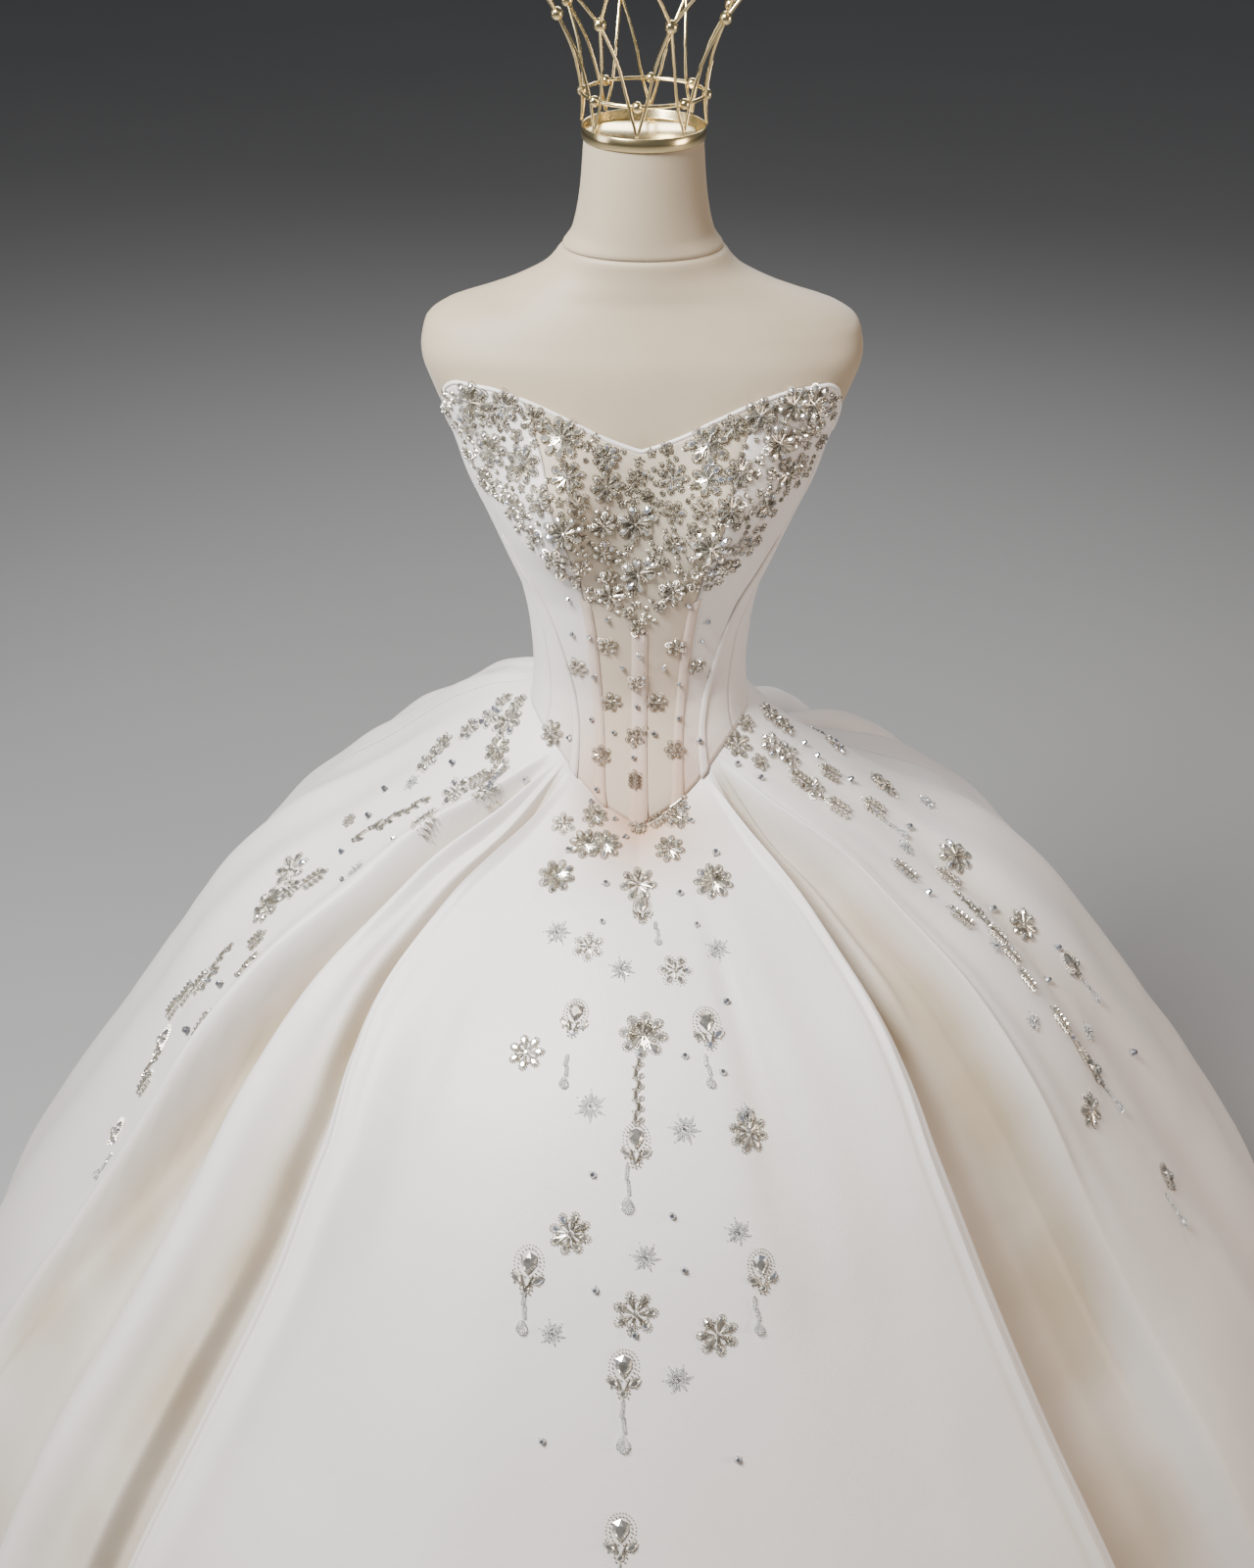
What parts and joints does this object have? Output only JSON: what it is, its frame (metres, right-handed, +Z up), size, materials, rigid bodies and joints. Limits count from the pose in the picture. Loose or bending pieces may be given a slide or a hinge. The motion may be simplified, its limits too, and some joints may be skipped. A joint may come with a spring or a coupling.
{
  "type": "ball gown on a dress form",
  "caption": "Strapless satin ball gown with a pointed basque, pleated full skirt and beaded flowers, worn by a limbless dress form with a wire crown on a stand.",
  "frame": {"origin": "centre of the stand's underside, on the floor under the form's pole", "axes": "+Z up along the pole, the gown's front faces -Y, the wearer's left is +X"},
  "size_m": [1.7953, 1.8057, 1.7163],
  "materials": {
    "satin": "heavy ivory satin",
    "beaded_net": "net over a nude ground, beaded",
    "form_cover": "smooth matt jersey",
    "gold_metal": "polished gold",
    "stand_metal": "satin steel"
  },
  "bodies": {
    "root": {"bodice_front_centre": "beaded_net", "bodice_front_left": "satin", "bodice_front_right": "satin", "bodice_side_left": "satin", "bodice_side_right": "satin", "bodice_back_left": "satin", "bodice_back_right": "satin", "channel_centre": "satin", "channel_princess_left": "satin", "channel_princess_right": "satin", "channel_side_left": "satin", "channel_side_right": "satin", "skirt_front": "satin", "skirt_side_left": "satin", "skirt_side_right": "satin", "skirt_back_left": "satin", "skirt_back_right": "satin", "form_body": "form_cover", "form_neck": "form_cover", "neck_band": "gold_metal", "crown": "gold_metal", "stand_pole": "stand_metal", "stand_base": "stand_metal"}
  },
  "joints": []
}
